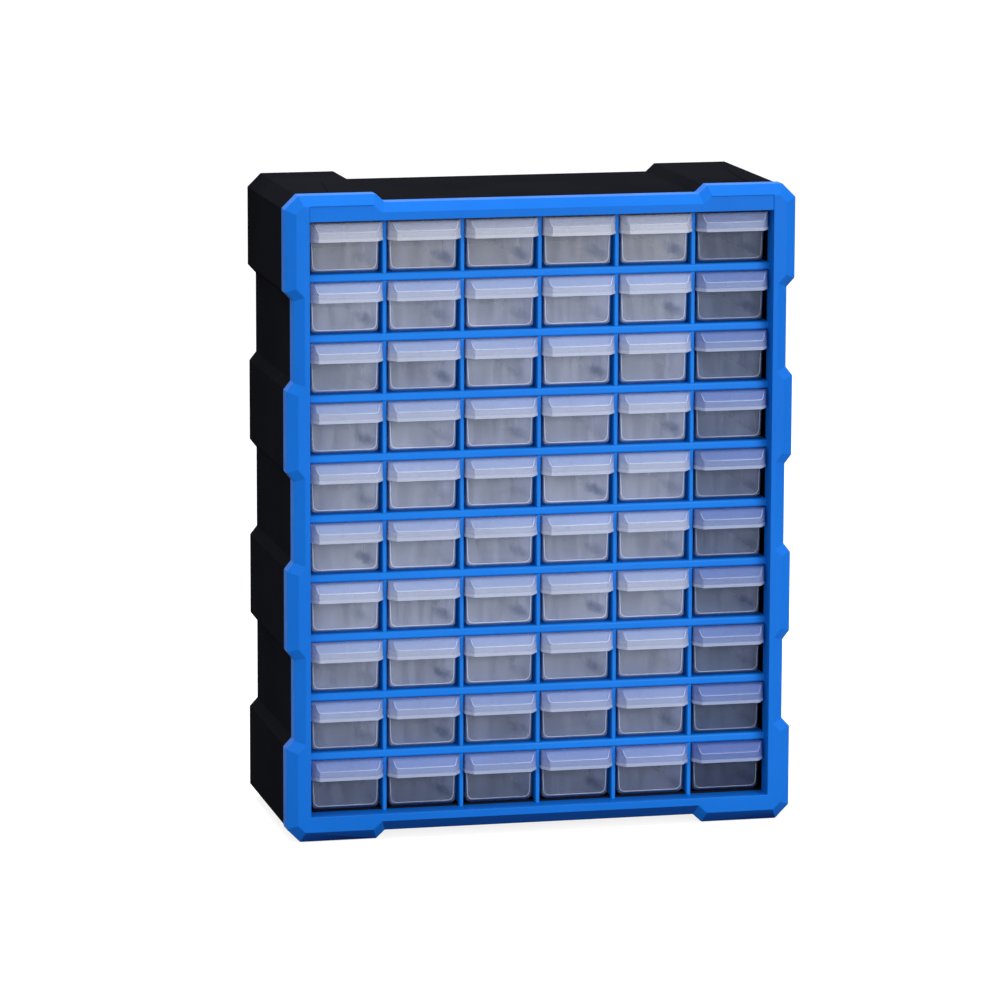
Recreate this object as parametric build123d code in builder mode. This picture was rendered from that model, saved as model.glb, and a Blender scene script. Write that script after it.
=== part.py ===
from build123d import *
import os

os.makedirs("parts", exist_ok=True)

# ---------------------------------------------------------------- overall casing
# Origin: centre of the footprint on the surface the cabinet stands on.
# X = width, -Y = drawer side, +Z = up.
WIDTH = 380.0
DEPTH = 160.0
HEIGHT = 475.0
FRONT_Y = -DEPTH / 2

# ---------------------------------------------------------------- casing outline
CORNER = 10.0          # 45 degree corner cuts
PAD_STEP_X = 120.0     # middle of the step between corner pad and recess, top and bottom
SIDE_STEPS = (73.0, 138.6, 204.5, 270.5, 336.4, 402.0)   # step heights up each side
STEP_RUN = 6.5         # length of each sloped step
RECESS = 6.0           # depth of the recessed stretches of the outline
MID_INSET = 0.9        # middle side pads sit this far inside the corner pads

# ---------------------------------------------------------------- front frame
FRAME_T = 17.0         # depth of the frame moulding
EDGE_W = 7.7           # sloped front edge, measured across the face
EDGE_D = 5.0           # and into the depth
WIN_W = 345.0
WIN_Z0 = 19.0          # height of the window sill
WIN_Z1 = 456.0         # height of the window's top edge
POCKET_D = 0.5         # shallow face pocket over the window
POCKET_TOP = 467.3

# ---------------------------------------------------------------- drawer grid
COLS, ROWS = 6, 10
PITCH_X = 57.6
PITCH_Z = 44.0
GRID_TOP = 457.5       # height the rows are counted down from
GRID_D = 12.0          # grid bars sit this deep behind the frame face
BAR_T = 5.0            # depth of the thick front bars
BAR_H = 5.8            # height of a shelf bar
BAR_W = 3.0            # width of a divider bar
SHELF_T = 2.2
PLATE_T = 1.6
RACK_END = 152.0       # depth at which shelves and dividers stop

# ---------------------------------------------------------------- casing shell
SHELL_IN_FRONT = 1.0   # shell outline inside the frame outline, at the frame
SHELL_IN_BACK = 1.9    # and at the back (moulding draft)
SHELL_CAV = 4.3        # cavity outline inside the frame outline
BACK_T = 2.6
FLOOR_TOP = GRID_TOP - ROWS * PITCH_Z + BAR_H / 2
FLOOR_T = 2.4
CREASE_W = 1.3         # shallow moulded creases in the top corner pads
CREASE_D = 0.6

# ---------------------------------------------------------------- drawer
GAP = 0.3              # running clearance to the grid
DR_H = PITCH_Z - BAR_H - 2 * GAP
DR_LEN = 135.0
DR_FRONT = 16.0        # depth of the drawer's front wall
DR_BOT = 24.9          # half widths of the tapered tray
DR_TOP = 26.4
DR_RIM = 27.0          # half width of pull and side rims
DR_SIDE_H = 36.6
DR_WALL = 1.4
DR_END = 1.6
DR_FILLET = 4.5
DR_EDGE = 1.5          # rounding around the lower front
RIB = 1.2
SLOT_AT = (45.0, 90.0) # divider slots, distance behind the front wall

# ---------------------------------------------------------------- drawer pull
PULL_Z = 24.3          # height of the pull's lower lip above the drawer's underside
PULL_BREAK = 31.3      # height where the sloped face meets the lip band
PULL_TOP_D = 5.0
PULL_MID_D = 2.0
PULL_LIP_D = 1.6
PULL_SIDE_D = 9.0      # depth where the slanted ends start
PULL_HALF = 21.7       # half width at the lip
PULL_T = 1.3
BEAD_H = 1.9           # thicker band along the lip
BEAD_OUT = 0.35


def at(depth):
    """Upright plane, seen from the front, this deep behind the frame face."""
    return Plane.XZ.offset(-(FRONT_Y + depth))


def outline(inset, base=0.0, sink=0.0):
    """Casing outline with corner pads, recesses and middle pads.

    sink lets the feet run on below the base line, to be cut flat there.
    """
    w = WIDTH / 2 - inset
    lo, hi = base, HEIGHT - inset
    s = STEP_RUN / 2
    rec, mid = w - RECESS, w - MID_INSET
    xo, xi = PAD_STEP_X + s, PAD_STEP_X - s
    levels = (w, rec, mid, rec, mid, rec, w)
    right = [
        (xi, lo + RECESS), (xo + sink * STEP_RUN / RECESS, lo - sink),
        (w - CORNER - sink, lo - sink), (w, lo + CORNER),
    ]
    for k, z in enumerate(SIDE_STEPS):
        right += [(levels[k], z - s), (levels[k + 1], z + s)]
    right += [(w, hi - CORNER), (w - CORNER, hi), (xo, hi), (xi, hi - RECESS)]
    left = [(-x, z) for x, z in reversed(right)]
    return right + left


# ================================================================ front frame
with BuildPart() as front_frame:
    with BuildSketch(at(0)):
        with BuildLine():
            Polyline(*outline(0.0), close=True)
        make_face()
        with Locations((0, (WIN_Z0 + WIN_Z1) / 2)):
            Rectangle(WIN_W, WIN_Z1 - WIN_Z0, mode=Mode.SUBTRACT)
    extrude(amount=-FRAME_T)
    face = front_frame.faces().sort_by(Axis.Y)[0]
    chamfer(face.outer_wire().edges(), length=EDGE_W, length2=EDGE_D, reference=face)
    with BuildSketch(at(0)):
        with Locations((0, (WIN_Z1 + POCKET_TOP) / 2)):
            Rectangle(WIN_W, POCKET_TOP - WIN_Z1, mode=Mode.ADD)
    extrude(amount=-POCKET_D, mode=Mode.SUBTRACT)
front_frame.part.label = "front_frame"
export_step(front_frame.part, "parts/front_frame.step")

# ================================================================ outer shell
with BuildPart() as outer_shell:
    with BuildSketch(at(FRAME_T)):
        with BuildLine():
            Polyline(*outline(SHELL_IN_FRONT, sink=1.0), close=True)
        make_face()
    with BuildSketch(at(DEPTH)):
        with BuildLine():
            Polyline(*outline(SHELL_IN_BACK, sink=1.0), close=True)
        make_face()
    loft(ruled=True)
    # feet cut flat where the cabinet stands
    with BuildSketch(Plane.XY.offset(-5)):
        Rectangle(2 * WIDTH, 2 * DEPTH)
    extrude(amount=5, mode=Mode.SUBTRACT)
    chamfer(outer_shell.faces().sort_by(Axis.Y)[-1].outer_wire().edges(), length=1.2)
    with BuildSketch(at(FRAME_T)):
        with BuildLine():
            Polyline(*outline(SHELL_CAV, SHELL_CAV), close=True)
        make_face()
    extrude(amount=-(DEPTH - BACK_T - FRAME_T), mode=Mode.SUBTRACT)
    # floor that the lowest drawers run on, moulded to both side walls and the back
    with BuildSketch(at(FRAME_T)):
        with Locations((0, FLOOR_TOP - FLOOR_T / 2)):
            Rectangle(2 * (WIDTH / 2 - SHELL_CAV + 1.0), FLOOR_T)
    extrude(amount=-(DEPTH - BACK_T - FRAME_T + 1.0))
    # shallow arched creases in the two top pads
    for pts in (
        ((-154.5, 22.0), (-149.5, 62.0), (-145.5, 92.0)),
        ((160.5, 22.0), (162.5, 74.0), (168.0, 121.0)),
    ):
        with BuildSketch(Plane.XY.offset(HEIGHT + 1)):
            with BuildLine() as run:
                ThreePointArc(*[(x, FRONT_Y + d) for x, d in pts])
            trace(line_width=CREASE_W)
        extrude(amount=-(1 + 1.4 + CREASE_D), mode=Mode.SUBTRACT)
outer_shell.part.label = "outer_shell"
export_step(outer_shell.part, "parts/outer_shell.step")

# ================================================================ shelves and dividers
with BuildPart() as shelf:
    # thick rounded bar at the front edge
    with BuildSketch(at(GRID_D)):
        Rectangle(WIN_W, BAR_H)
    extrude(amount=-BAR_T)
    nose = shelf.faces().sort_by(Axis.Y)[0].edges().filter_by(Axis.X)
    fillet(nose, radius=1.4)
    # thin plate behind it, flush with the bar's top
    with BuildSketch(at(GRID_D + BAR_T)):
        with Locations((0, BAR_H / 2 - SHELF_T / 2)):
            Rectangle(WIN_W, SHELF_T)
    extrude(amount=-(RACK_END - GRID_D - BAR_T))


def divider_solid(bar_lo, bar_hi, plate_lo, plate_hi):
    """Upright divider: rounded front bar with a thinner plate behind it."""
    with BuildPart() as divider:
        with BuildSketch(at(GRID_D + 0.5)):
            with Locations((0, (bar_lo + bar_hi) / 2)):
                Rectangle(BAR_W, bar_hi - bar_lo)
        extrude(amount=-(BAR_T - 0.5))
        fillet(divider.faces().sort_by(Axis.Y)[0].edges().filter_by(Axis.Z), radius=0.8)
        with BuildSketch(at(GRID_D + BAR_T)):
            with Locations((0, (plate_lo + plate_hi) / 2)):
                Rectangle(PLATE_T, plate_hi - plate_lo)
        extrude(amount=-(RACK_END - GRID_D - BAR_T))
    return divider.part


pieces = []
for i in range(1, ROWS):
    pieces.append(shelf.part.moved(Location((0, 0, GRID_TOP - PITCH_Z * i))))
half = BAR_H / 2
up = half - SHELF_T            # underside of a shelf plate above the bar centre
between = divider_solid(half, PITCH_Z - half, half, PITCH_Z + up)
top_row = divider_solid(half, PITCH_Z + WIN_Z1 - GRID_TOP, half, PITCH_Z)
low_row = divider_solid(WIN_Z0 - GRID_TOP + ROWS * PITCH_Z, PITCH_Z - half, half, PITCH_Z + up)
for i in range(1, ROWS + 1):
    kind = top_row if i == 1 else low_row if i == ROWS else between
    for c in range(COLS - 1):
        pieces.append(
            kind.moved(Location(((c - 2) * PITCH_X, 0, GRID_TOP - PITCH_Z * i)))
        )
divider_rack = Compound(label="divider_rack", children=pieces)
export_step(divider_rack, "parts/divider_rack.step")

# ================================================================ one drawer
y0 = FRONT_Y


def trapezoid(half_bot, half_top, z_lo, z_hi):
    """Corner points of the tray's tapered section."""
    return [(-half_bot, z_lo), (half_bot, z_lo), (half_top, z_hi), (-half_top, z_hi)]


slope = (DR_TOP - DR_BOT) / DR_H


def half_at(z):
    return DR_BOT + slope * z


with BuildPart() as tray:
    # tapered body with rounded lower corners
    with BuildSketch(at(DR_FRONT)) as body_sk:
        with BuildLine():
            Polyline(*trapezoid(DR_BOT, half_at(DR_SIDE_H), 0, DR_SIDE_H), close=True)
        make_face()
        fillet(body_sk.vertices().group_by(Axis.Y)[0], radius=DR_FILLET)
    extrude(amount=-DR_LEN)
    front_edges = tray.faces().sort_by(Axis.Y)[0].edges().sort_by(Axis.Z)[:-1]
    fillet(front_edges, radius=DR_EDGE)
    # narrow rims along the top of both sides
    with BuildSketch(at(DR_FRONT + DR_END)):
        with Locations((0, DR_SIDE_H - 0.6)):
            Rectangle(2 * DR_RIM, 1.2)
    extrude(amount=-(DR_LEN - DR_END))
    # front wall rises a little above the sides
    with BuildSketch(at(DR_FRONT)):
        with Locations((0, (PULL_Z + DR_H) / 2)):
            Rectangle(2 * DR_RIM, DR_H - PULL_Z)
    extrude(amount=-DR_END)
    # inside, first the width between the divider ribs ...
    bot_in = half_at(DR_WALL) - DR_WALL
    with BuildSketch(at(DR_FRONT + DR_END)) as narrow_sk:
        with BuildLine():
            Polyline(
                *trapezoid(bot_in - RIB, half_at(DR_H) - DR_WALL - RIB, DR_WALL, DR_H + 1),
                close=True,
            )
        make_face()
        fillet(narrow_sk.vertices().group_by(Axis.Y)[0], radius=2.4)
    extrude(amount=-(DR_LEN - 2 * DR_END), mode=Mode.SUBTRACT)
    # ... then the full width of each bay, which leaves the ribs standing
    stops = [DR_FRONT + DR_END]
    for s in SLOT_AT:
        mid = DR_FRONT + s
        stops += [mid - 1.9, mid - 0.9, mid + 0.9, mid + 1.9]
    stops.append(DR_FRONT + DR_LEN - DR_END)
    for a, b in zip(stops[0::2], stops[1::2]):
        with BuildSketch(at(a)) as wide_sk:
            with BuildLine():
                Polyline(
                    *trapezoid(bot_in, half_at(DR_H) - DR_WALL, DR_WALL, DR_H + 1),
                    close=True,
                )
            make_face()
            fillet(wide_sk.vertices().group_by(Axis.Y)[0], radius=3.2)
        extrude(amount=-(b - a), mode=Mode.SUBTRACT)
    # ribs stop below the rim
    with BuildSketch(at(DR_FRONT + DR_END)):
        with BuildLine():
            zt = 29.0
            Polyline(
                (-(half_at(zt) - DR_WALL), zt), (half_at(zt) - DR_WALL, zt),
                (half_at(DR_H) - DR_WALL, DR_H + 1), (-(half_at(DR_H) - DR_WALL), DR_H + 1),
                close=True,
            )
        make_face()
    extrude(amount=-(DR_LEN - 2 * DR_END), mode=Mode.SUBTRACT)

def pull_plan(inset):
    """Plan of the hood, narrowing to the lip."""
    back = y0 + DR_FRONT + DR_END
    side = DR_RIM - inset
    half_lip = PULL_HALF - inset * 0.7
    return [
        (-side, back), (-side, y0 + PULL_SIDE_D), (-half_lip, y0 + PULL_LIP_D + inset),
        (half_lip, y0 + PULL_LIP_D + inset), (side, y0 + PULL_SIDE_D), (side, back),
    ]


# hood shaped pull: side profile crossed with a plan that narrows to the lip
with BuildPart() as hood:
    with BuildSketch(Plane.YZ) as side_out:
        with BuildLine():
            Polyline(
                (y0 + DR_FRONT + DR_END, PULL_Z), (y0 + DR_FRONT + DR_END, DR_H),
                (y0 + PULL_TOP_D, DR_H), (y0 + PULL_MID_D + BEAD_OUT, PULL_BREAK),
                (y0 + PULL_LIP_D + BEAD_OUT, PULL_Z), close=True,
            )
        make_face()
        brow = (y0 + PULL_MID_D + BEAD_OUT, PULL_BREAK, 0)
        fillet(side_out.vertices().sort_by_distance(brow)[0], 1.6)
        fillet(side_out.vertices().sort_by_distance((y0 + PULL_TOP_D, DR_H, 0))[0], 0.7)
    extrude(amount=DR_RIM + 3, both=True)
    with BuildSketch(Plane.XY.offset(PULL_Z)) as plan_in:
        with BuildLine():
            Polyline(*pull_plan(BEAD_OUT), close=True)
        make_face()
        fillet(plan_in.vertices().group_by(Axis.Y)[0], radius=1.4)
        fillet(plan_in.vertices().group_by(Axis.Y)[2], radius=1.4)
    extrude(amount=DR_H - PULL_Z, mode=Mode.INTERSECT)
    # band along the lip, standing a little proud
    with BuildSketch(Plane.XY.offset(PULL_Z)) as plan_out:
        with BuildLine():
            Polyline(*pull_plan(0.0), close=True)
        make_face()
        fillet(plan_out.vertices().group_by(Axis.Y)[0], radius=1.6)
        fillet(plan_out.vertices().group_by(Axis.Y)[2], radius=1.6)
    extrude(amount=BEAD_H)

with BuildPart() as finger:
    with BuildSketch(Plane.YZ):
        with BuildLine():
            Polyline(
                (y0 + DR_FRONT, PULL_Z - 1), (y0 + DR_FRONT, DR_H - PULL_T),
                (y0 + PULL_TOP_D + 0.9, DR_H - PULL_T), (y0 + PULL_MID_D + 1.35, PULL_BREAK - 0.2),
                (y0 + PULL_LIP_D + PULL_T, PULL_Z - 1), close=True,
            )
        make_face()
    extrude(amount=DR_RIM, both=True)
    with BuildSketch(Plane.XY.offset(PULL_Z - 1)):
        with BuildLine():
            Polyline(
                (-(DR_RIM - PULL_T), y0 + DR_FRONT), (-(DR_RIM - PULL_T), y0 + PULL_SIDE_D + 0.5),
                (-(PULL_HALF - 0.7), y0 + PULL_LIP_D + PULL_T - 0.2),
                ((PULL_HALF - 0.7), y0 + PULL_LIP_D + PULL_T - 0.2),
                (DR_RIM - PULL_T, y0 + PULL_SIDE_D + 0.5), (DR_RIM - PULL_T, y0 + DR_FRONT),
                close=True,
            )
        make_face()
    extrude(amount=DR_H, mode=Mode.INTERSECT)

with BuildPart() as drawer:
    add(tray.part)
    add(hood.part)
    add(finger.part, mode=Mode.SUBTRACT)


def drawer_at(row, col):
    x = (col - (COLS + 1) / 2) * PITCH_X
    z = GRID_TOP - PITCH_Z * row + BAR_H / 2 + GAP
    return drawer.part.moved(Location((x, 0, z)))


# ================================================================ drawers in place
for row in range(1, ROWS):
    for col in range(1, COLS + 1):
        name = f"drawer_r{row:02d}_c{col}"
        unit = drawer_at(row, col)
        unit.label = name
        export_step(unit, f"parts/{name}.step")

# the lowest row is stored as three side-by-side pairs
for col in (1, 3, 5):
    name = f"drawer_r{ROWS:02d}_c{col}_c{col + 1}"
    pair = Compound(label=name, children=[drawer_at(ROWS, col), drawer_at(ROWS, col + 1)])
    export_step(pair, f"parts/{name}.step")
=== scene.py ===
import math

import bmesh
import bpy
from mathutils import Matrix, Vector


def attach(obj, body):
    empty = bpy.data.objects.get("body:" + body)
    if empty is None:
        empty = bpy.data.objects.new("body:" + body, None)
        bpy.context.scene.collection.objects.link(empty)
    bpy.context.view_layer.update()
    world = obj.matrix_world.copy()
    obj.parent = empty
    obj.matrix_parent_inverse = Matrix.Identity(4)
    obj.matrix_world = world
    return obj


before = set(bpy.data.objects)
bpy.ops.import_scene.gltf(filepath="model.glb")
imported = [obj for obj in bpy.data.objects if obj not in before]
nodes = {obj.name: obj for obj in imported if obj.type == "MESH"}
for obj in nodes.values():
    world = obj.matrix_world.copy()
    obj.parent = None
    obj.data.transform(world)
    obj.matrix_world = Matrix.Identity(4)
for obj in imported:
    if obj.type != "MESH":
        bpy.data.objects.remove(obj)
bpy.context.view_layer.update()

scene = bpy.context.scene

# ------------------------------------------------------------------ sizes, in metres, as in the CAD
FRONT_Y = -0.080
GRID_TOP = 0.4575
PITCH_X, PITCH_Z = 0.0576, 0.044
BAR_H = 0.0058
GAP = 0.0003
COLS, ROWS = 6, 10
PULL_Z = 0.0243


# ------------------------------------------------------------------ camera, at the photograph's angle
def make_camera():
    az, el, roll = math.radians(-13.14), math.radians(10.15), math.radians(0.18)
    dist = 4.3476
    target = Vector((-0.01341, 0.0, 0.23438))
    back = Vector((math.sin(az) * math.cos(el), -math.cos(az) * math.cos(el), math.sin(el)))
    fwd = -back
    right = fwd.cross(Vector((0, 0, 1))).normalized()
    up = right.cross(fwd)
    r2 = right * math.cos(roll) + up * math.sin(roll)
    u2 = up * math.cos(roll) - right * math.sin(roll)
    data = bpy.data.cameras.new("camera")
    cam = bpy.data.objects.new("camera", data)
    scene.collection.objects.link(cam)
    data.sensor_width = 36.0
    data.lens = 5.8605 * 36.0
    data.clip_start = 0.05
    data.clip_end = 60.0
    rot = Matrix((r2, u2, back)).transposed()
    cam.matrix_world = Matrix.Translation(target + back * dist) @ rot.to_4x4()
    scene.camera = cam


make_camera()


# ------------------------------------------------------------------ node helpers
class Net:
    """Small helper to wire a material."""

    def __init__(self, name):
        self.mat = bpy.data.materials.new(name)
        self.mat.use_nodes = True
        self.nt = self.mat.node_tree
        self.nt.nodes.clear()

    def node(self, kind, **values):
        n = self.nt.nodes.new(kind)
        for key, v in values.items():
            if hasattr(n, key):
                setattr(n, key, v)
        return n

    def link(self, a, b):
        self.nt.links.new(a, b)

    def math(self, op, a, b=None, c=None, clamp=False):
        n = self.node("ShaderNodeMath", operation=op, use_clamp=clamp)
        for i, v in enumerate((a, b, c)):
            if v is None:
                continue
            if isinstance(v, (int, float)):
                n.inputs[i].default_value = v
            else:
                self.link(v, n.inputs[i])
        return n.outputs[0]

    def noise(self, coord, scale, detail=3.0, rough=0.55):
        n = self.node("ShaderNodeTexNoise")
        n.inputs["Scale"].default_value = scale
        n.inputs["Detail"].default_value = detail
        n.inputs["Roughness"].default_value = rough
        self.link(coord, n.inputs["Vector"])
        return n.outputs["Fac"]

    def remap(self, v, a, b, lo, hi):
        n = self.node("ShaderNodeMapRange")
        self.link(v, n.inputs[0])
        for i, x in enumerate((a, b, lo, hi)):
            n.inputs[i + 1].default_value = x
        return n.outputs[0]

    def mix(self, fac, a, b, blend="MIX"):
        n = self.node("ShaderNodeMix", data_type="RGBA", blend_type=blend)
        for sock, v in ((n.inputs[0], fac), (n.inputs[6], a), (n.inputs[7], b)):
            if isinstance(v, (int, float)):
                sock.default_value = v
            elif isinstance(v, tuple):
                sock.default_value = (*v[:3], 1.0)
            else:
                self.link(v, sock)
        return n.outputs[2]

    def bump(self, height, strength, distance, normal=None):
        n = self.node("ShaderNodeBump")
        n.inputs["Strength"].default_value = strength
        n.inputs["Distance"].default_value = distance
        self.link(height, n.inputs["Height"])
        if normal is not None:
            self.link(normal, n.inputs["Normal"])
        return n.outputs[0]

    def principled(self, **kw):
        p = self.node("ShaderNodeBsdfPrincipled")
        for key, v in kw.items():
            sock = p.inputs[key.replace("_", " ")]
            if isinstance(v, (int, float)):
                sock.default_value = v
            elif isinstance(v, tuple):
                sock.default_value = (*v[:3], 1.0)
            else:
                self.link(v, sock)
        return p

    def out(self, shader):
        o = self.node("ShaderNodeOutputMaterial")
        self.link(shader, o.inputs["Surface"])
        return self.mat


def opaque_plastic(name, dark, light, rough_lo, rough_hi, grain, grain_depth, specular, underside_shade=None):
    """Moulded plastic: faint colour drift, fine grain, roughness that wanders a little, and, where given, painted
    shade on faces that point down.
    """
    n = Net(name)
    co = n.node("ShaderNodeTexCoord").outputs["Object"]
    drift = n.noise(co, 9.0, 4.0, 0.6)
    fine = n.noise(co, grain, 2.0, 0.5)
    flow = n.noise(co, 38.0, 3.0, 0.55)
    col = n.mix(n.remap(drift, 0.3, 0.7, 0.0, 1.0), dark, light)
    if underside_shade:
        # painted shade: faces that point down are mixed towards a darker colour, standing in for the shade under
        # the steps
        face = n.node("ShaderNodeSeparateXYZ")
        n.link(n.node("ShaderNodeNewGeometry").outputs["Normal"], face.inputs[0])
        col = n.mix(n.remap(face.outputs[2], -0.62, -0.30, 1.0, 0.0), col, underside_shade)
    rough = n.remap(flow, 0.3, 0.7, rough_lo, rough_hi)
    nrm = n.bump(fine, 0.30, grain_depth)
    p = n.principled(Base_Color=col, Roughness=rough, Normal=nrm)
    p.inputs["Specular IOR Level"].default_value = specular
    return n.out(p.outputs[0])


BLUE = opaque_plastic(
    "blue_moulded", (0.0024, 0.108, 0.468), (0.0031, 0.124, 0.522), 0.40, 0.52, 2600.0, 0.00004, 0.09,
    # the darker colour below is painted shade for the frame's downward faces
    underside_shade=(0.0015, 0.017, 0.122),
)
BLUE_RACK = opaque_plastic(
    "blue_rack_moulded", (0.0042, 0.141, 0.546), (0.0054, 0.163, 0.610), 0.38, 0.50, 2600.0, 0.00004, 0.12
)
BLACK = opaque_plastic(
    "black_moulded", (0.0056, 0.0059, 0.0075), (0.0078, 0.0081, 0.0105), 0.55, 0.68, 1900.0, 0.00005, 0.0
)


def clear_plastic(name, edges=False):
    """Clear drawer plastic.

    Thin walls let the inside show; the hooded pull is denser than the tray, its lip densest,
    and every edge that turns away from the eye reads a little stronger.
    """
    n = Net(name)
    geo = n.node("ShaderNodeTexCoord").outputs["Object"]
    sep = n.node("ShaderNodeSeparateXYZ")
    n.link(geo, sep.inputs[0])
    flow = n.noise(geo, 26.0, 2.0, 0.5)
    haze = n.noise(geo, 14.0, 3.0, 0.55)
    cloud = n.remap(haze, 0.3, 0.7, 0.0, 1.0)
    # height inside the drawer's own row, and distance behind the frame face
    z = n.math("MODULO", n.math("SUBTRACT", sep.outputs[2], DRAWER_Z0), PITCH_Z)
    hood = n.remap(sep.outputs[1], FRONT_Y + 0.0150, FRONT_Y + 0.0156, 1.0, 0.0)
    lip = n.math("MULTIPLY", hood, n.remap(z, 0.0262, 0.0268, 1.0, 0.0))
    slope = n.math("MULTIPLY", hood, n.remap(z, 0.0300, 0.0326, 0.0, 1.0))
    lw = n.node("ShaderNodeLayerWeight")
    lw.inputs["Blend"].default_value = 0.30
    front = n.remap(sep.outputs[1], FRONT_Y + 0.0176, FRONT_Y + 0.0184, 1.0, 0.0)
    tray_a = n.remap(cloud, 0.0, 1.0, TRAY_ALPHA[0], TRAY_ALPHA[1])
    alpha = n.math("ADD", tray_a, n.math("MULTIPLY", front, FRONT_MORE))
    alpha = n.math("ADD", alpha, n.math("MULTIPLY", hood, BAND_MORE))
    alpha = n.math("ADD", alpha, n.math("MULTIPLY", slope, -SLOPE_LESS))
    alpha = n.math("ADD", alpha, n.math("MULTIPLY", lip, LIP_MORE))
    edge = n.remap(front, 0.0, 1.0, EDGE_BODY, EDGE_MORE)
    alpha = n.math("ADD", alpha, n.math("MULTIPLY", lw.outputs["Facing"], edge), clamp=True)
    col = n.mix(cloud, TRAY_DARK, TRAY_LIGHT)
    col = n.mix(hood, col, BAND_COL)
    # painted shade: the hood's upper facet is coloured darker and bluer than the band, standing in for how light
    # falls on it and blue bounce from the grid
    col = n.mix(slope, col, SLOPE_SHADE_COL)
    col = n.mix(lip, col, LIP_COL)
    # the lower front is uneven: faint upright streaks, and a darker patch of painted shade where floor and side
    # wall meet behind it
    x = n.math("MODULO", n.math("ADD", sep.outputs[0], 10.0 * PITCH_X), PITCH_X)
    u = n.math("MULTIPLY", n.math("SUBTRACT", x, PITCH_X / 2 + 0.0150), 1.0 / 0.0068)
    v = n.math("MULTIPLY", n.math("SUBTRACT", z, 0.0105), 1.0 / 0.0046)
    d2 = n.math("ADD", n.math("MULTIPLY", u, u), n.math("MULTIPLY", v, v))
    d2 = n.math("ADD", d2, n.math("MULTIPLY", n.math("MULTIPLY", u, v), 1.1))
    d2 = n.math("ADD", d2, n.remap(n.noise(geo, 210.0, 2.0, 0.6), 0.3, 0.7, -0.45, 0.45))
    below = n.math("MULTIPLY", n.math("SUBTRACT", front, hood, clamp=True), n.remap(z, 0.0225, 0.0240, 1.0, 0.0))
    corner_shade = n.math("MULTIPLY", n.remap(d2, 0.0, 1.5, 1.0, 0.0), below)
    corner_shade = n.math("MULTIPLY", corner_shade, n.remap(n.noise(geo, 21.0, 1.0, 0.5), 0.36, 0.62, 0.30, 1.0))
    stretch = n.node("ShaderNodeMapping")
    stretch.inputs["Scale"].default_value = (1.0, 0.0, 0.16)
    n.link(geo, stretch.inputs["Vector"])
    streak = n.remap(n.noise(stretch.outputs[0], 135.0, 2.0, 0.5), 0.36, 0.64, -1.0, 1.0)
    alpha = n.math("ADD", alpha, n.math("MULTIPLY", n.math("MULTIPLY", streak, below), STREAK))
    alpha = n.math("ADD", alpha, n.math("MULTIPLY", corner_shade, PATCH_MORE))
    # the edge-line tubes take a lighter colour: painted highlight along the moulded corners
    if edges:
        col = n.mix(cloud, HIGHLIGHT_LINE_DARK, HIGHLIGHT_LINE_LIGHT)
        alpha = n.remap(cloud, 0.0, 1.0, EDGE_ALPHA[0], EDGE_ALPHA[1])
    # painted shade: the top row is mixed greyer and darker, standing in for the blue bounce light it lacks with no
    # blue shelf above it; the drawers over and beside the dark casing, which pick up less light, are painted
    # darker further down
    col = n.mix(n.remap(sep.outputs[2], GRID_TOP - 0.0450, GRID_TOP - 0.0440, 0.0, 0.55), col, TOP_ROW_SHADE_COL)
    if not edges:
        # painted shade of the corner behind the lower front
        col = n.mix(n.math("MULTIPLY", corner_shade, 0.85), col, PATCH_SHADE_COL)
        # the outermost rim of the lower front is painted deep blue: painted refraction of the blue grid round it
        # and painted shadow along the gap beneath the drawer
        out = n.math("ABSOLUTE", n.math("SUBTRACT", x, PITCH_X / 2))
        rim_shade = n.math("MAXIMUM", n.remap(out, 0.0240, 0.0250, 0.0, 1.0), n.remap(z, 0.0014, 0.0026, 1.0, 0.0))
        rim_shade = n.math("MULTIPLY", rim_shade, below)
        col = n.mix(rim_shade, col, RIM_BLUE_SHADE_COL)
        alpha = n.math("ADD", alpha, n.math("MULTIPLY", rim_shade, RIM_MORE), clamp=True)
    # painted shade: the bottom rows and the column beside the dark casing are multiplied darker
    most = 0.45 if edges else 1.0
    low = n.remap(sep.outputs[2], 0.026, 0.150, most, 0.0)
    side = n.remap(sep.outputs[0], 0.1145, 0.1160, 0.0, most)
    keep = n.remap(lip, 0.0, 1.0, 1.0, 0.45)
    low, side = n.math("MULTIPLY", low, keep), n.math("MULTIPLY", side, keep)
    col = n.mix(low, col, n.mix(hood, LOW_TRAY_SHADE, LOW_HOOD_SHADE), "MULTIPLY")
    col = n.mix(side, col, n.mix(hood, SIDE_TRAY_SHADE, SIDE_HOOD_SHADE), "MULTIPLY")
    nrm = n.bump(flow, 0.06, 0.0004)
    p = n.principled(Base_Color=col, Roughness=n.remap(flow, 0.3, 0.7, 0.14, 0.22), Normal=nrm, Alpha=alpha)
    p.inputs["Specular IOR Level"].default_value = 0.35
    p.inputs["IOR"].default_value = 1.5
    return n.out(p.outputs[0])


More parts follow.
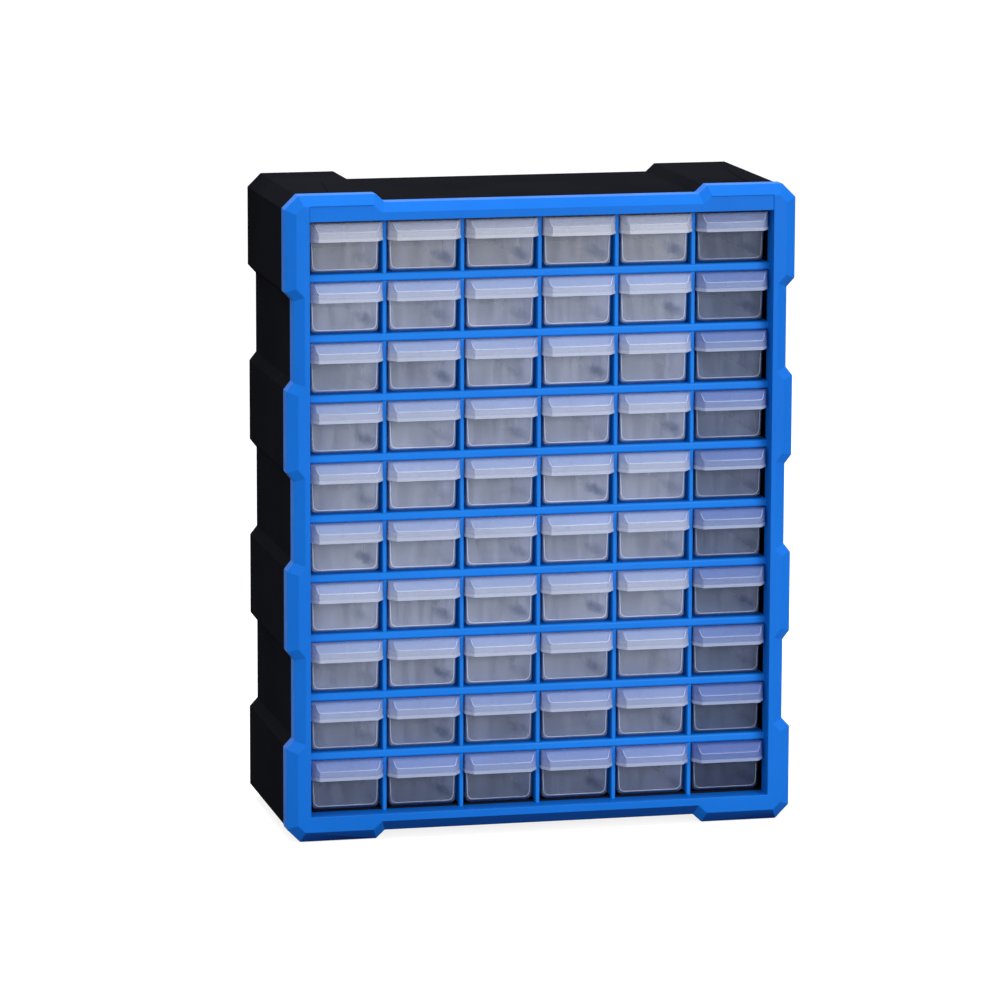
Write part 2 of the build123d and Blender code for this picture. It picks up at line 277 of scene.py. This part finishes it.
DRAWER_Z0 = GRID_TOP - ROWS * PITCH_Z + BAR_H / 2 + GAP
TRAY_ALPHA = (0.10, 0.14)
FRONT_MORE, EDGE_BODY = 0.05, 0.08
LOW_TRAY_SHADE, LOW_HOOD_SHADE = (0.36, 0.40, 0.50), (0.58, 0.68, 0.95)
SIDE_TRAY_SHADE, SIDE_HOOD_SHADE = (0.42, 0.47, 0.56), (0.52, 0.61, 0.84)
RIM_BLUE_SHADE_COL, RIM_MORE = (0.020, 0.105, 0.420), 0.12
STREAK, PATCH_MORE, PATCH_SHADE_COL = 0.026, 0.085, (0.15, 0.19, 0.31)
HIGHLIGHT_LINE_DARK, HIGHLIGHT_LINE_LIGHT, EDGE_ALPHA = (0.62, 0.67, 0.80), (0.78, 0.83, 0.95), (0.30, 0.42)
TOP_ROW_SHADE_COL = (0.60, 0.61, 0.68)
BAND_MORE, SLOPE_LESS, LIP_MORE, EDGE_MORE = 0.19, 0.12, 0.10, 0.30
TRAY_DARK, TRAY_LIGHT = (0.60, 0.66, 0.83), (0.68, 0.74, 0.91)
BAND_COL, SLOPE_SHADE_COL, LIP_COL = (0.46, 0.52, 0.70), (0.39, 0.51, 0.87), (0.50, 0.55, 0.70)
CLEAR = clear_plastic("clear_moulded")
CLEAR_HIGHLIGHT = clear_plastic("clear_edge_highlights", edges=True)


# ------------------------------------------------------------------ CAD nodes: finish and softened edges
def dress(obj, mat, width, angle=28.0, segments=2):
    obj.data.materials.clear()
    obj.data.materials.append(mat)
    weld = obj.modifiers.new("weld", "WELD")
    weld.merge_threshold = 0.00002
    bev = obj.modifiers.new("edges", "BEVEL")
    bev.width = width
    bev.segments = segments
    bev.limit_method = "ANGLE"
    bev.angle_limit = math.radians(angle)
    bev.harden_normals = False


for name, obj in nodes.items():
    if name == "outer_shell":
        dress(obj, BLACK, 0.0007)
    elif name == "front_frame":
        dress(obj, BLUE, 0.0006, segments=3)
    elif name == "divider_rack":
        dress(obj, BLUE_RACK, 0.0004)
    else:
        dress(obj, CLEAR, 0.0003)


# ------------------------------------------------------------------ edge lines on every drawer: thin tubes on the moulded corners, coloured lighter as painted highlight
MM = 0.001
DR_BOT, DR_TOP, DR_H = 24.9, 26.4, 37.6


def corner_arc(cx, cz, r, a0, a1, steps):
    return [
        (cx + r * math.cos(a0 + (a1 - a0) * k / steps), cz + r * math.sin(a0 + (a1 - a0) * k / steps))
        for k in range(steps + 1)
    ]


def tray_line():
    """Inner line of the lower front: down one side, round the corners and up the other."""
    e, up, r = 1.75, 2.6, 4.3
    lean = (DR_TOP - DR_BOT) / DR_H

    def half(z):
        return DR_BOT + lean * z - e

    right = [(half(23.6), 23.6), (half(17.0), 17.0), (half(10.0), 10.0)]
    right += corner_arc(half(up + r) - r, up + r, r, 0.0, -math.pi / 2, 6)
    left = [(-x, z) for x, z in reversed(right)]
    mids = [(10.0, up), (0.0, up), (-10.0, up)]
    return [Vector((x, 16.12, z)) for x, z in right + mids + left]


def hood_line():
    """Brow of the pull: down one slanted end, along the break and up the other end."""
    right = [
        Vector((23.9, 5.25, 36.9)), Vector((23.0, 4.1, 34.4)), Vector((22.4, 3.2, 32.5)),
        Vector((21.7, 2.75, 31.5)), Vector((20.4, 2.62, 31.1)),
    ]
    left = [Vector((-v.x, v.y, v.z)) for v in reversed(right)]
    mids = [Vector((x, 2.60, 31.0)) for x in (12.0, 4.0, -4.0, -12.0)]
    return right + mids + left


def tube(bm, path, radius, sides=6):
    rings = []
    last = len(path) - 1
    for i, p in enumerate(path):
        t = (path[min(i + 1, last)] - path[max(i - 1, 0)]).normalized()
        u = t.cross(Vector((0, 1, 0))).normalized()
        v = t.cross(u).normalized()
        r = radius * (0.45 if i in (0, last) else 1.0)
        rings.append(
            [
                bm.verts.new(p + (u * math.cos(q) + v * math.sin(q)) * r)
                for q in (2 * math.pi * k / sides for k in range(sides))
            ]
        )
    for a, b in zip(rings, rings[1:]):
        for k in range(sides):
            bm.faces.new((a[k], a[(k + 1) % sides], b[(k + 1) % sides], b[k]))
    bm.faces.new(list(reversed(rings[0])))
    bm.faces.new(rings[-1])


def edge_highlights(name, body, cells):
    bm = bmesh.new()
    for row, col in cells:
        x0 = (col - (COLS + 1) / 2) * PITCH_X
        z0 = GRID_TOP - PITCH_Z * row + BAR_H / 2 + GAP
        base = Vector((x0, FRONT_Y, z0))
        tube(bm, [base + p * MM for p in tray_line()], 0.36 * MM)
        tube(bm, [base + p * MM for p in hood_line()], 0.34 * MM)
    bmesh.ops.recalc_face_normals(bm, faces=bm.faces)
    me = bpy.data.meshes.new(name)
    bm.to_mesh(me)
    bm.free()
    for p in me.polygons:
        p.use_smooth = True
    me.materials.append(CLEAR_HIGHLIGHT)
    o = bpy.data.objects.new(name, me)
    scene.collection.objects.link(o)
    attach(o, body)


for row in range(1, ROWS):
    for col in range(1, COLS + 1):
        tag = f"r{row:02d}_c{col}"
        edge_highlights(f"edge_highlights_{tag}", f"tray_{tag}", [(row, col)])
for col in (1, 3, 5):
    tag = f"r{ROWS:02d}_c{col}_c{col + 1}"
    edge_highlights(f"edge_highlights_{tag}", f"tray_{tag}", [(ROWS, col), (ROWS, col + 1)])


# ------------------------------------------------------------------ floor, light
def make_floor():
    bm = bmesh.new()
    bmesh.ops.create_grid(bm, x_segments=8, y_segments=8, size=12.0)
    me = bpy.data.meshes.new("floor")
    bm.to_mesh(me)
    bm.free()
    o = bpy.data.objects.new("floor", me)
    scene.collection.objects.link(o)
    o.location = (0, 0, -0.0002)
    n = Net("floor")
    co = n.node("ShaderNodeTexCoord").outputs["Object"]
    f = n.noise(co, 1.2, 2.0)
    col = n.mix(f, (0.20, 0.20, 0.20), (0.23, 0.23, 0.23))
    p = n.principled(Base_Color=col, Roughness=0.9, Emission_Color=(1.0, 1.0, 1.0))
    p.inputs["Emission Strength"].default_value = 0.84
    p.inputs["Specular IOR Level"].default_value = 0.0
    me.materials.append(n.out(p.outputs[0]))
    # the sweep glows a little so that it stays pale; that glow lights only the floor itself
    only = bpy.data.collections.new("floor_only")
    only.objects.link(o)
    o.light_linking.receiver_collection = only


make_floor()


def area(name, loc, aim, size, power, colour=(1, 1, 1)):
    d = bpy.data.lights.new(name, "AREA")
    d.shape = "RECTANGLE"
    d.size, d.size_y = size
    d.energy = power
    d.color = colour
    o = bpy.data.objects.new(name, d)
    scene.collection.objects.link(o)
    v = Vector(aim) - Vector(loc)
    o.rotation_euler = v.to_track_quat("-Z", "Y").to_euler()
    o.location = loc
    return o


area("key", (1.3, -2.6, 1.0), (0.0, 0.0, 0.25), (1.4, 1.2), 58.0)
area("fill", (-1.6, -2.4, 0.7), (0.0, 0.0, 0.25), (1.6, 1.2), 14.0)
area("top", (0.0, 0.2, 2.2), (0.0, 0.0, 0.3), (2.0, 1.6), 47.0)

world = bpy.data.worlds.new("studio")
scene.world = world
world.use_nodes = True
bg = world.node_tree.nodes["Background"]
bg.inputs[0].default_value = (1.0, 1.0, 1.0, 1.0)
bg.inputs[1].default_value = 0.92
scene.view_settings.view_transform = "Standard"
scene.view_settings.look = "None"
if hasattr(scene, "cycles"):
    scene.cycles.transparent_max_bounces = 32
